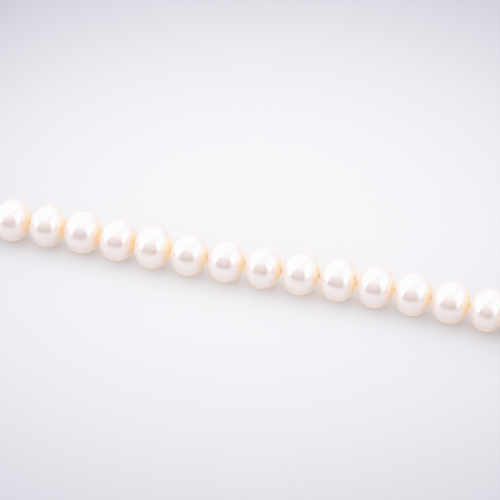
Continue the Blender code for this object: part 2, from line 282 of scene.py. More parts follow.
class ShaderGraph(Graph):
    """A material's tree with one Principled shader."""

    def __init__(self, name: str) -> None:
        """Starts a material that has only its shader and its output."""
        self.material = bpy.data.materials.new(name)
        self.material.use_nodes = True
        super().__init__(self.material.node_tree)
        self.shader = self.tree.nodes["Principled BSDF"]

    def place(self) -> Signal:
        """Object coordinates."""
        return self.signal("ShaderNodeTexCoord", output="Object")

    def noise(self, vector: Signal, scale: float, detail: float, rough: float = 0.5) -> Signal:
        """Soft noise from 0 to 1."""
        inputs = {"Vector": vector, "Scale": scale, "Detail": detail, "Roughness": rough}
        return self.signal("ShaderNodeTexNoise", inputs=inputs, output="Fac")

    def attribute(self, name: str) -> Signal:
        """A number stored on the piece's own mesh."""
        return self.signal("ShaderNodeAttribute", {"attribute_name": name}, output="Fac")

    def fixed(self, **values: Any) -> None:
        """Sets the shader's own sockets. A socket's spaces are written as underscores."""
        for name, value in values.items():
            self.shader.inputs[name.replace("_", " ")].default_value = value

    def wire(self, name: str, signal: Signal) -> None:
        """Feeds one of the shader's sockets."""
        self.tree.links.new(signal.socket, self.shader.inputs[name])

    def relief(self, height: Signal, strength: float, distance: float) -> None:
        """Feeds a bump to the shader's normal."""
        inputs = {"Height": height, "Strength": strength, "Distance": distance}
        self.wire("Normal", self.signal("ShaderNodeBump", inputs=inputs, output="Normal"))


Colour = tuple[float, float, float, float]
BLACK: Colour = (0, 0, 0, 1)


@dataclass(frozen=True)
class Nacre:
    """Cream-white pearl nacre: a satin body under a clear, bright skin. Its drill ends keep a warm
    tint of their own, and a warm painted shade and a painted glow lie at one end, where pearls touch
    and on the underside.
    """

    body: Colour = (0.66, 0.54, 0.47, 1)
    blush: Colour = (0.67, 0.53, 0.49, 1)
    # ends: the pearl's own warm tint at its drill ends, also used as a painted warm shade at one end
    # and on the underside
    ends: Colour = (0.84, 0.53, 0.30, 1)
    # painted glow: an emission colour that stands in for light passing through the pearl
    painted_glow: Colour = (1.0, 0.52, 0.20, 1)
    pit: Colour = (0.30, 0.18, 0.12, 1)
    cloud_scale: float = 160.0
    pit_scale: float = 1500.0
    pit_edge: tuple[float, float] = (0.79, 0.83)
    ripple_scale: float = 700.0
    rim_starts: float = 0.60
    contact_starts: float = 0.92
    # the heights over which the underside's painted warm shade and painted glow fade out
    underside: tuple[float, float] = (0.8 * MM, 3.8 * MM)
    ripple_depth: float = 0.12 * MM

    def material(self) -> bpy.types.Material:
        """Builds the finish.

        Returns:
            The pearl material.
        """
        graph = ShaderGraph("nacre")
        spot = graph.place()
        tint = graph.attribute("tint")
        mark = graph.attribute("pit").clamped()
        cloud = graph.noise(spot, self.cloud_scale, 3.0)
        pits = graph.noise(spot, self.pit_scale, 1.0).smooth(*self.pit_edge) * 0.4 + mark
        ripple = graph.noise(spot, self.ripple_scale, 2.0) - pits * 1.5
        along = graph.attribute("along")
        # painted light: one end of every pearl is made warmer and glows more, as if light passed
        # through from the other end
        one_end_painted_light = along.smooth(self.rim_starts, 1.0)
        # both drill ends: their own warm tint, and a painted glow
        ends_tint_and_painted_light = abs(along).smooth(self.rim_starts, 1.0)
        # painted glow where neighbouring pearls touch, lifting the shade between them
        contact_painted_glow = abs(along).smooth(self.contact_starts, 1.0)
        # painted shade and glow: the underside, where the pearl is shaded, turns warm and glows
        under = 1.0 - graph.part(spot, 2).smooth(*self.underside)
        # drill-end tint and painted shade: the warm colour covers the drill ends, one end lit through
        # and the shaded underside; it also thins the coat there
        ends_tint_and_painted_shade_mask = (one_end_painted_light * 0.6 + ends_tint_and_painted_light * 0.4 + under * 0.7).clamped()
        colour = graph.blend((tint * 0.7 + cloud * 0.45 - 0.1).clamped(), self.body, self.blush)
        # painted shade: the warm colour is mixed in by that mask
        colour = graph.blend(ends_tint_and_painted_shade_mask * 0.8, colour, self.ends)
        graph.wire("Base Color", graph.blend(pits.clamped(), colour, self.pit))
        graph.wire("Coat Weight", (1.0 - ends_tint_and_painted_shade_mask * 0.6) * (1.0 - mark))
        graph.wire("Roughness", 0.24 + cloud * 0.10)
        # painted glow: emission at one end, both ends, between touching pearls and on the underside
        painted_glow = (one_end_painted_light * 0.45 + ends_tint_and_painted_light * 0.12 + contact_painted_glow * 0.7 + under * 0.6).clamped()
        graph.wire("Emission Color", graph.blend(painted_glow * (1.0 - mark), BLACK, self.painted_glow))
        graph.relief(ripple, 0.12, self.ripple_depth)
        graph.fixed(IOR=1.6, Coat_Roughness=0.11, Coat_IOR=3.6, Emission_Strength=0.3)
        graph.fixed(Subsurface_Weight=1.0, Subsurface_Scale=3.0 * MM)
        graph.fixed(Subsurface_Radius=(1.0, 0.62, 0.40), Subsurface_Anisotropy=0.5)
        graph.fixed(Sheen_Weight=0.8, Sheen_Roughness=0.3, Sheen_Tint=(1.0, 0.62, 0.34, 1.0))
        return graph.material


@dataclass(frozen=True)
class SilkThread:
    """Off-white twisted silk."""

    colour: Colour = (0.86, 0.82, 0.74, 1)
    shade: Colour = (0.66, 0.60, 0.52, 1)
    fibre_scale: float = 9000.0
    fibre_depth: float = 0.03 * MM

    def material(self) -> bpy.types.Material:
        """Builds the finish."""
        graph = ShaderGraph("silk")
        fibres = graph.noise(graph.place(), self.fibre_scale, 3.0, 0.7)
        graph.wire("Base Color", graph.blend(fibres, self.shade, self.colour))
        graph.wire("Roughness", 0.45 + fibres * 0.25)
        graph.relief(fibres, 0.35, self.fibre_depth)
        graph.fixed(Sheen_Weight=0.5, Sheen_Roughness=0.4)
        return graph.material


class Polish(Enum):
    """How far a metal is polished: its roughness, and how deep its fine scratches are."""

    BRIGHT = (0.12, 0.05)
    DULL = (0.38, 0.25)


@dataclass(frozen=True)
class Metal:
    """A polished metal with fine wear."""

    name: str
    colour: Colour
    worn: Colour
    polish: Polish
    smear_scale: float = 420.0
    grain_scale: float = 2600.0
    grain_stretch: tuple[float, float, float] = (1.0, 6.0, 3.0)
    grain_depth: float = 0.02 * MM

    def material(self) -> bpy.types.Material:
        """Builds the finish."""
        graph = ShaderGraph(self.name)
        roughness, depth = self.polish.value
        spot = graph.place()
        brushed = graph.vector("MULTIPLY", spot, self.grain_stretch)
        smear = graph.noise(spot, self.smear_scale, 4.0, 0.6)
        grain = graph.noise(brushed, self.grain_scale, 3.0, 0.7)
        graph.wire("Base Color", graph.blend(smear.smooth(0.35, 0.8), self.colour, self.worn))
        graph.wire("Roughness", roughness + smear * 0.14 + grain * 0.05)
        graph.relief(grain, depth, self.grain_depth)
        graph.fixed(Metallic=1.0)
        return graph.material


@dataclass(frozen=True)
class Sweep:
    """Plain pale studio paper with a painted pool of light: its colour is brightest round the pool and
    painted dark far out, and it glows faintly to lift the shadows on it.
    """

    colour: Colour = (0.45, 0.445, 0.45, 1)
    # painted shade: the paper's colour far out from the pool of light
    far: Colour = (0.10, 0.105, 0.14, 1)
    # painted light: a faint glow of the paper that lifts the shadows on it
    painted_shadow_lift: Colour = (0.98, 0.93, 0.93, 1)
    falloff: tuple[float, float] = (15 * MM, 140 * MM)

    def material(self, pool: Vector) -> bpy.types.Material:
        """Builds the finish.

        Args:
            pool: The middle of the painted pool of light, away from which the paper's colour is
                painted darker.

        Returns:
            The paper.
        """
        graph = ShaderGraph("studio_paper")
        offset = graph.vector("SUBTRACT", graph.place(), tuple(pool))
        away = graph.vector("LENGTH", offset, output="Value")
        # painted pool of light: the paper's colour darkens with distance from the pool
        graph.wire("Base Color", graph.blend(away.smooth(*self.falloff), self.colour, self.far))
        graph.fixed(Roughness=0.55, Specular_IOR_Level=0.3)
        graph.fixed(Emission_Color=self.painted_shadow_lift, Emission_Strength=0.12)
        return graph.material


# Shapes


def arc(
    centre: tuple[float, float], radii: tuple[float, float], start: float, end: float, steps: int
) -> Outline:
    """Points on an ellipse's arc.

    Args:
        centre: The ellipse's centre.
        radii: Its half sizes.
        start: The first point's angle in degrees.
        end: The last point's angle in degrees.
        steps: The number of steps between them.

    Returns:
        The points in order.
    """
    angles = [math.radians(start + (end - start) * i / steps) for i in range(steps + 1)]
    return [
        (centre[0] + radii[0] * math.cos(angle), centre[1] + radii[1] * math.sin(angle))
        for angle in angles
    ]


def disc(centre: tuple[float, float], radius: float, steps: int = 64) -> Outline:
    """A circle's points, the first not repeated."""
    return arc(centre, (radius, radius), 0, 360, steps)[:-1]


def finished(shape: bmesh.types.BMesh, name: str) -> bpy.types.Mesh:
    """A mesh from a shape that is being edited. The shape is let go."""
    mesh = bpy.data.meshes.new(name)
    shape.to_mesh(mesh)
    shape.free()
    return mesh


def prism(name: str, outline: Outline, low: float, high: float) -> bpy.types.Mesh:
    """A flat outline in XY given thickness from low to high."""
    shape = bmesh.new()
    face = shape.faces.new([shape.verts.new((x, y, low)) for x, y in outline])
    raised = bmesh.ops.extrude_face_region(shape, geom=[face])
    top = [item for item in raised["geom"] if isinstance(item, bmesh.types.BMVert)]
    bmesh.ops.translate(shape, verts=top, vec=(0, 0, high - low))
    bmesh.ops.recalc_face_normals(shape, faces=shape.faces)
    return finished(shape, name)


def rounded(outline: Outline, radius: float, steps: int = 4) -> Outline:
    """The same outline with its sharp corners rounded.

    Args:
        outline: A closed outline's points.
        radius: How far from a corner its curve starts, at most.
        steps: The number of steps round a corner.

    Returns:
        The rounded outline.
    """
    result: Outline = []
    for i, corner in enumerate(outline):
        spot = Vector(corner)
        before = Vector(outline[i - 1]) - spot
        after = Vector(outline[(i + 1) % len(outline)]) - spot
        if before.angle(after) > ALMOST_STRAIGHT:
            result.append(corner)
            continue
        start = spot + before.normalized() * min(radius, before.length / 2)
        end = spot + after.normalized() * min(radius, after.length / 2)
        for step in range(steps + 1):
            t = step / steps
            bend = start * (1 - t) ** 2 + spot * 2 * t * (1 - t) + end * t * t
            result.append((bend.x, bend.y))
    return result


def spun(name: str, profile: Outline, steps: int, closed: bool = False) -> bpy.types.Mesh:
    """A profile turned round Z.

    Args:
        name: The mesh's name.
        profile: Points of radius and height.
        steps: The number of steps round.
        closed: Whether the last point joins the first. Otherwise both lie on the axis.

    Returns:
        The turned shape.
    """
    shape = bmesh.new()
    corners = [shape.verts.new((radius, 0, height)) for radius, height in profile]
    following = corners[1:] + corners[:1] if closed else corners[1:]
    edges = [shape.edges.new(pair) for pair in zip(corners, following)]
    sweep = {"cent": (0, 0, 0), "axis": UP, "angle": math.tau, "steps": steps}
    bmesh.ops.spin(shape, geom=corners + edges, use_merge=True, **sweep)
    bmesh.ops.remove_doubles(shape, verts=shape.verts, dist=MERGED)
    bmesh.ops.recalc_face_normals(shape, faces=shape.faces)
    return finished(shape, name)


@dataclass(frozen=True)
class Casting:
    """How a cast piece is rounded: its grain, its rounds of smoothing and how far each one goes."""

    grain: float
    smoothing: int
    share: float = 0.5


def machined(
    blank: bpy.types.Mesh,
    tools: Sequence[tuple[str, bpy.types.Mesh]],
    finish: bpy.types.Material,
    casting: Casting,
) -> bpy.types.Mesh:
    """A cast piece: shapes joined and rounded together, then cut by others.

    Args:
        blank: The shape to start from.
        tools: Each an operation, UNION or DIFFERENCE, and its shape. A UNION is cast with the blank.
        finish: The material of the result.
        casting: How the cast shape is rounded before it is cut.

    Returns:
        A plain mesh of its own.
    """
    holder = bpy.data.objects.new("blank", blank)
    bpy.context.scene.collection.objects.link(holder)
    helpers = []
    for operation in ("UNION", "DIFFERENCE"):
        for shape in [shape for kind, shape in tools if kind == operation]:
            helper = bpy.data.objects.new("tool", shape)
            bpy.context.scene.collection.objects.link(helper)
            helpers.append(helper)
            cut = holder.modifiers.new("cut", "BOOLEAN")
            cut.operation = operation
            cut.solver = "MANIFOLD"
            cut.object = helper
        if operation == "UNION":
            remade = holder.modifiers.new("cast", "REMESH")
            remade.mode = "VOXEL"
            remade.voxel_size = casting.grain
            softened = holder.modifiers.new("soften", "SMOOTH")
            softened.factor = casting.share
            softened.iterations = casting.smoothing
    graph = bpy.context.evaluated_depsgraph_get()
    graph.update()
    mesh = bpy.data.meshes.new_from_object(holder.evaluated_get(graph), depsgraph=graph)
    for helper in [holder, *helpers]:
        bpy.data.objects.remove(helper)
    return dressed(mesh, finish, CAST_EDGE)


def dressed(mesh: bpy.types.Mesh, finish: bpy.types.Material, edge: float) -> bpy.types.Mesh:
    """The same mesh with one finish, smooth except where it turns by more than the edge's angle."""
    mesh.materials.clear()
    mesh.materials.append(finish)
    mesh.shade_smooth()
    mesh.set_sharp_from_angle(angle=edge)
    return mesh


def route_curve(name: str, points: Iterable[Vector], closed: bool = False) -> bpy.types.Curve:
    """A line through points, for a tree to wind a thread or a wire along."""
    line = list(points)
    curve = bpy.data.curves.new(name, "CURVE")
    curve.dimensions = "3D"
    spline = curve.splines.new("POLY")
    spline.points.add(len(line) - 1)
    for spot, point in zip(spline.points, line):
        spot.co = (*point, 1.0)
    spline.use_cyclic_u = closed
    return curve


def extent(node: str, origin: Vector, axis: Vector) -> tuple[float, float]:
    """How far a node of the frame reaches along an axis, from a point.

    Args:
        node: The node's name.
        origin: The point that the reach is counted from.
        axis: A unit direction.

    Returns:
        The lowest and the highest reach.
    """
    reaches = [(vertex.co - origin).dot(axis) for vertex in frame["nodes"][node].data.vertices]
    return min(reaches), max(reaches)


def middle_of(node: str) -> Vector:
    """The middle of a node's box."""
    low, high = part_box(node)
    return (low + high) / 2


def joint_at(name: str) -> Vector:
    """Where a joint of the frame is."""
    return Vector(next(joint["pos_m"] for joint in frame["joints"] if joint["name"] == name))


def axes_at(origin: Vector, along: Vector) -> Matrix:
    """A frame at a point with +X along a level direction and +Z up."""
    ahead = Vector((along.x, along.y, 0)).normalized()
    side = UP.cross(ahead)
    turned = Matrix((ahead, side, UP)).transposed().to_4x4()
    return Matrix.Translation(origin) @ turned


def fit(name: str, mesh: bpy.types.Mesh, body: str, node: str) -> None:
    """Adds one finished piece to the necklace.

    Args:
        name: The piece's name.
        mesh: Its mesh, in place.
        body: The body that it rides on.
        node: The node of the frame that it stands for.
    """
    mesh.name = name
    piece = bpy.data.objects.new(name, mesh)
    bpy.context.scene.collection.objects.link(piece)
    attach(piece, body)
    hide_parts(node)
    LOG.info("%s rides on %s, %d faces", name, body, len(mesh.polygons))


# Pearls


@dataclass(frozen=True)
class Pit:
    """A small brown pit in one pearl's skin: the pearl's node, the side that it is on and its size."""

    node: str
    facing: tuple[float, float, float]
    radius: float
    depth: float = 1.5

    def mark(self, mesh: bpy.types.Mesh, centre: Vector) -> None:
        """Stores how deep every point of the pearl's mesh lies in the pit. The skin around is at 0."""
        ray = Vector(self.facing).normalized()
        points = [vertex.co for vertex in mesh.vertices]
        middle = max(points, key=lambda point: (point - centre).normalized().dot(ray))
        depths = mesh.attributes.new("pit", "FLOAT", "POINT")
        for point, stored in zip(points, depths.data):
            stored.value = max(0.0, self.depth * (1 - (point - middle).length / self.radius))


@dataclass
class PearlStrand:
    """The drilled pearls, each grown from its own length, height and width."""

    fullness: float = 2.15
    fullness_spread: tuple[float, float] = (-0.08, 0.1)
    bore: float = 0.55 * MM
    lumps: float = 0.022
    lump_spread: tuple[float, float] = (0.5, 1.3)
    lump_scale: float = 0.75
    around: int = 72
    rows: int = 60
    bore_share: float = 0.08
    shine_gap: float = 0.155 * MM
    seam_merge: float = 0.002 * MM
    seed: int = 40
    pit: Pit = Pit("pearl_25", (0.84, -0.22, 0.5), 0.5 * MM)
    tree: GeometryGraph = field(init=False)

    def __post_init__(self) -> None:
        """Builds the tree that every pearl grows from."""
        self.tree = self._pearl_tree()

    def _pearl_tree(self) -> GeometryGraph:
        """A sheet rolled into a pearl with its drill hole, along X and round its own middle."""
        graph = GeometryGraph("pearl")
        length = graph.size("Length", 7.7 * MM)
        height = graph.size("Height", 9.2 * MM)
        width = graph.size("Width", 9.2 * MM)
        fullness = graph.size("Fullness", self.fullness)
        bore = graph.size("Bore", self.bore)
        lumps = graph.size("Lumps", self.lumps)
        seed = graph.size("Seed", 0.0)
        tint = graph.size("Tint", 0.5)
        counts = {"Vertices X": self.around + 1, "Vertices Y": self.rows + 1}
        grid = graph.node("GeometryNodeMeshGrid", inputs={"Size X": 1.0, "Size Y": 1.0, **counts})
        place = graph.signal("GeometryNodeInputPosition")
        parts = graph.node("ShaderNodeSeparateXYZ", inputs={0: place})
        turn = (Signal(graph, parts.outputs[0]) + 0.5) * -math.tau
        run = Signal(graph, parts.outputs[1]) + 0.5
        outer = (run / (1 - self.bore_share)).clamped()
        inner = ((run - (1 - self.bore_share)) / self.bore_share).clamped()
        power = 2.0 / fullness
        cosine = graph.math("COSINE", outer * math.pi)
        sine = graph.math("MAXIMUM", graph.math("SINE", outer * math.pi), 0.0)
        along = graph.math("SIGN", cosine) * abs(cosine) ** power * (1 - inner * 2)
        skin = sine**power
        facing = graph.signal(
            "ShaderNodeCombineXYZ",
            inputs={
                0: along + seed,
                1: skin * graph.math("COSINE", turn) + seed * 1.7,
                2: skin * graph.math("SINE", turn) - seed,
            },
        )
        inputs = {"Vector": facing, "Scale": self.lump_scale, "Detail": 1.0, "Roughness": 0.4}
        lump = graph.signal("ShaderNodeTexNoise", inputs=inputs, output=0)
        swell = 1 + (lump - 0.5) * lumps * 2
        body = skin * swell
        radial = graph.math("SQRT", bore * bore + (body * height / 2) ** 2.0)
        shape = graph.signal(
            "ShaderNodeCombineXYZ",
            inputs={
                0: along * length / 2,
                1: radial * graph.math("COSINE", turn) * width / height,
                2: radial * graph.math("SINE", turn),
            },
        )
        mesh = Signal(graph, grid.outputs["Mesh"])
        for name, value in (("along", along), ("tint", tint)):
            settings = {"data_type": "FLOAT", "domain": "POINT"}
            inputs = {"Geometry": mesh, "Name": name, "Value": value}
            mesh = graph.signal("GeometryNodeStoreNamedAttribute", settings, inputs)
        inputs = {"Geometry": mesh, "Position": shape}
        mesh = graph.signal("GeometryNodeSetPosition", inputs=inputs)
        inputs = {"Geometry": mesh, "Distance": self.seam_merge}
        mesh = graph.signal("GeometryNodeMergeByDistance", inputs=inputs)
        mesh = graph.signal("GeometryNodeSetShadeSmooth", inputs={"Geometry": mesh})
        graph.finish(mesh)
        return graph

    def build(self, finish: bpy.types.Material) -> None:
        """Grows every pearl in nacre and fits it to its body."""
        chance = random.Random(self.seed)
        empty = bpy.data.meshes.new("empty")
        for seat in pearl_seats():
            centre = seat.middle
            low, high = extent(seat.node, centre, seat.along)
            side = UP.cross(seat.along)
            left, right = extent(seat.node, centre, side)
            bottom, top = (corner.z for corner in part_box(seat.node))
            sizes = {
                "Length": high - low + self.shine_gap,
                "Height": top - bottom,
                "Width": right - left,
                "Fullness": self.fullness + chance.uniform(*self.fullness_spread),
                "Bore": self.bore,
                "Lumps": self.lumps * chance.uniform(*self.lump_spread),
                "Seed": chance.uniform(0, 60),
                "Tint": chance.random(),
            }
            mesh = self.tree.grow(empty, sizes, finish)
            middle = centre + seat.along * (low + high) / 2
            middle.z = (bottom + top) / 2
            mesh.transform(axes_at(middle, seat.along))
            lowest = min(vertex.co.z for vertex in mesh.vertices)
            mesh.transform(Matrix.Translation((0, 0, -lowest)))
            if seat.node == self.pit.node:
                self.pit.mark(mesh, middle)
            fit(f"nacre_{seat.node}", mesh, seat.body, seat.node)


@dataclass(frozen=True)
class Seat:
    """Where one pearl sits: its node and body, its two turning points and the line between them."""

    node: str
    body: str
    start: Vector
    end: Vector

    @property
    def middle(self) -> Vector:
        """Halfway between the turning points."""
        return (self.start + self.end) / 2

    @property
    def along(self) -> Vector:
        """The direction of the drill hole, level."""
        line = self.end - self.start
        return Vector((line.x, line.y, 0)).normalized()


def pearl_seats() -> list[Seat]:
    """Every pearl's seat, in order from the clasp end."""
    names = [name for name in frame["nodes"] if name.startswith("pearl_")]
    seats = []
    for number in range(1, len(names) + 1):
        node = f"pearl_{number:02d}"
        centre = middle_of(node)
        start, end = gap_at(number - 1), gap_at(number)
        if start is None:
            start = 2 * centre - end
        if end is None:
            end = 2 * centre - start
        start.z = end.z = centre.z
        seats.append(Seat(node, f"strand_{number:02d}", start, end))
    return seats


def gap_at(number: int) -> Vector | None:
    """The turning point between a pearl and the next one, or None past the strand's ends."""
    name = f"bend_{number:02d}_{number + 1:02d}"
    found = [joint["pos_m"] for joint in frame["joints"] if joint["name"] == name]
    return Vector(found[0]) if found else None


# Threads and wires


@dataclass
class Winding:
    """Thread or wire wound round a line: plies side by side, or one wire as a coil."""

    name: str
    plies: int
    wire: float
    winding: float
    pitch: float
    sides: int = 6
    turn_steps: int = 12
    tree: GeometryGraph = field(init=False)

    def __post_init__(self) -> None:
        """Builds the tree that winds along any line."""
        self.tree = self._winding_tree()

    def _winding_tree(self) -> GeometryGraph:
        """Each ply follows the line at the winding's radius and turns once in every pitch."""
        graph = GeometryGraph(self.name)
        wire = graph.size("Wire", self.wire)
        winding = graph.size("Winding", self.winding)
        pitch = graph.size("Pitch", self.pitch)
        line = Signal(graph, graph.entry.outputs["Geometry"])
        settings = {"mode": "LENGTH"}
        inputs = {"Curve": line, "Length": pitch / float(self.turn_steps)}
        fine = graph.signal("GeometryNodeResampleCurve", settings, inputs)
        ahead = graph.signal("GeometryNodeInputTangent")
        normal = graph.signal("GeometryNodeInputNormal")
        across = graph.vector("CROSS_PRODUCT", ahead, normal)
        travelled = graph.signal("GeometryNodeSplineParameter", output="Length")
        inputs = {"Resolution": self.sides, "Radius": wire}
        round_wire = graph.signal("GeometryNodeCurvePrimitiveCircle", inputs=inputs)
        join = graph.tree.nodes.new("GeometryNodeJoinGeometry")
        for ply in range(self.plies):
            angle = travelled / pitch * math.tau + math.tau * ply / self.plies
            lift = graph.scaled(normal, graph.math("COSINE", angle) * winding)
            lean = graph.scaled(across, graph.math("SINE", angle) * winding)
            offset = graph.vector("ADD", lift, lean)
            inputs = {"Geometry": fine, "Offset": offset}
            wound = graph.signal("GeometryNodeSetPosition", inputs=inputs)
            inputs = {"Curve": wound, "Profile Curve": round_wire, "Fill Caps": True}
            tube = graph.signal("GeometryNodeCurveToMesh", inputs=inputs)
            graph.tree.links.new(tube.socket, join.inputs[0])
        inputs = {"Geometry": Signal(graph, join.outputs[0])}
        graph.finish(graph.signal("GeometryNodeSetShadeSmooth", inputs=inputs))
        return graph

    def along(self, curve: bpy.types.Curve, finish: bpy.types.Material) -> bpy.types.Mesh:
        """Winds along a line, in one finish."""
        sizes = {"Wire": self.wire, "Winding": self.winding, "Pitch": self.pitch}
        return self.tree.grow(curve, sizes, finish)


def joined(meshes: Sequence[bpy.types.Mesh], name: str) -> bpy.types.Mesh:
    """One mesh from several that share a finish."""
    shape = bmesh.new()
    for mesh in meshes:
        shape.from_mesh(mesh)
    whole = finished(shape, name)
    whole.materials.append(meshes[0].materials[0])
    whole.shade_smooth()
    return whole


@dataclass
class StringingSilk:
    """The two-ply silk: a run through every pearl, and a knot and a loop at both ends."""

    plies: int = 2
    ply: float = 0.125 * MM
    pitch: float = 0.9 * MM
    knot_scale: float = 0.15 * MM
    knot_steps: int = 96
    thread: Winding = field(init=False)

    def __post_init__(self) -> None:
        """Sets up the twist."""
        self.thread = Winding("twisted_silk", self.plies, self.ply, self.ply, self.pitch)

    def build(self, finish: bpy.types.Material, ends: Sequence["StrandEnd"]) -> None:
        """Runs the silk through every pearl, and out round the gimps at both ends."""
        for seat in pearl_seats():
            curve = route_curve("silk_run", [seat.start, seat.end])
            mesh = self.thread.along(curve, finish)
            name = seat.node.replace("pearl", "silk_in_pearl")
            fit(name, mesh, seat.body, "stringing_silk")
        for end in ends:
            meshes = [
                self.thread.along(route_curve("silk_loop", end.silk_route()), finish),
                self.thread.along(self._knot(end), finish),
            ]
            name = f"{end.name}_silk_loop"
            fit(name, joined(meshes, name), end.body, "stringing_silk")

    def _knot(self, end: "StrandEnd") -> bpy.types.Curve:
        """A tight three-lobed knot round the silk, just outside the last pearl."""
        centre = end.at(end.knot_x, 0)
        points = []
        for i in range(self.knot_steps):
            t = math.tau * i / self.knot_steps
            across = math.sin(t) + 2 * math.sin(2 * t)
            rise = math.cos(t) - 2 * math.cos(2 * t)
            lobe = Vector((-math.sin(3 * t), across, rise))
            points.append(centre + end.turned(lobe * self.knot_scale))
        return route_curve("knot", points, closed=True)


@dataclass
class StrandEnd:
    """One end of the strand, measured from the frame: the pearl's pole, the silk's loop and the ring.

    What it carries, the clasp or the catch, is in the names of its gimp, ring and joint.
    """

    carries: str
    number: int
    knot_x: float = 0.75 * MM
    silk_start: float = 1.5 * MM
    neck: float = 0.55 * MM
    tucked: float = 3.0 * MM
    gimp_radius: float = 0.45 * MM
    origin: Vector = field(init=False)
    ahead: Vector = field(init=False)
    fall: float = field(init=False)
    start_x: float = field(init=False)
    tip_x: float = field(init=False)
    loop_radius: float = field(init=False)

    def __post_init__(self) -> None:
        """Measures the end."""
        pivot = joint_at(f"{self.ring}_swing")
        self.ahead = (middle_of(self.ring) - pivot).normalized()
        self.ahead.z = 0
        self.ahead.normalize()
        seat = pearl_seats()[self.number - 1]
        pole = extent(seat.node, middle_of(seat.node), self.ahead)[1]
        self.origin = seat.middle + self.ahead * pole
        self.origin.z = joint_at("bend_01_02").z
        self.start_x, loop_end = extent(self.gimp, self.origin, self.ahead)
        half_width = extent(self.gimp, self.origin, self.side)[1]
        self.tip_x = loop_end - self.gimp_radius
        self.loop_radius = half_width - self.gimp_radius
        self.fall = (self.origin.z - pivot.z) / self.tip_x

    @property
    def name(self) -> str:
        """What the end's pieces are named after."""
        return f"{self.carries}_end"

    @property
    def body(self) -> str:
        """The last pearl's body."""
        return f"strand_{self.number:02d}"

    @property
    def gimp(self) -> str:
        """The gimp's node."""
        return f"{self.carries}_gimp"

    @property
    def ring(self) -> str:
        """The jump ring's node and body."""
        return f"{self.carries}_jump_ring"

    @property
    def side(self) -> Vector:
        """The level direction across the end."""
        return UP.cross(self.ahead)

    def at(self, x: float, y: float) -> Vector:
        """A point of the silk's sloping plane, from its distance out and across."""
        return self.origin + self.ahead * x + self.side * y - UP * (self.fall * x)

    def turned(self, local: Vector) -> Vector:
        """A direction in the end's own axes."""
        return self.ahead * local.x + self.side * local.y + UP * local.z

    def loop(self, start: float) -> list[Vector]:
        """The loop's line from its left leg at start, round the ring and back."""
        centre = self.tip_x - self.loop_radius
        share = (start - self.silk_start) / (centre - self.silk_start)
        neck = self.neck + (self.loop_radius - self.neck) * share
        bend = arc((centre, 0), (self.loop_radius, self.loop_radius), 90, -90, 24)
        flat = [(start, neck), *bend, (start, -neck)]
        return [self.at(x, y) for x, y in flat]

    def silk_route(self) -> list[Vector]:
        """The silk from inside the last pearl out through the knot and round the loop."""
        inside = self.origin - self.ahead * self.tucked
        return [inside, self.at(0, 0), self.at(self.knot_x, 0), *self.loop(self.silk_start)]


@dataclass
class GimpCoil:
    """The fine coil of gilt wire that guards each loop of silk."""

    wire: float = 0.055 * MM
    radius: float = 0.37 * MM
    pitch: float = 0.125 * MM
    sides: int = 5
    turn_steps: int = 14
    coil: Winding = field(init=False)

    def __post_init__(self) -> None:
        """Sets up the coil."""
        sizes = (self.wire, self.radius, self.pitch, self.sides, self.turn_steps)
        self.coil = Winding("gimp_coil", 1, *sizes)

    def build(self, finish: bpy.types.Material, end: StrandEnd) -> None:
        """Winds the coil round the end's loop of silk."""
        curve = route_curve("gimp_line", end.loop(end.start_x))
        mesh = self.coil.along(curve, finish)
        fit(f"{end.name}_gimp_coil", mesh, end.body, end.gimp)


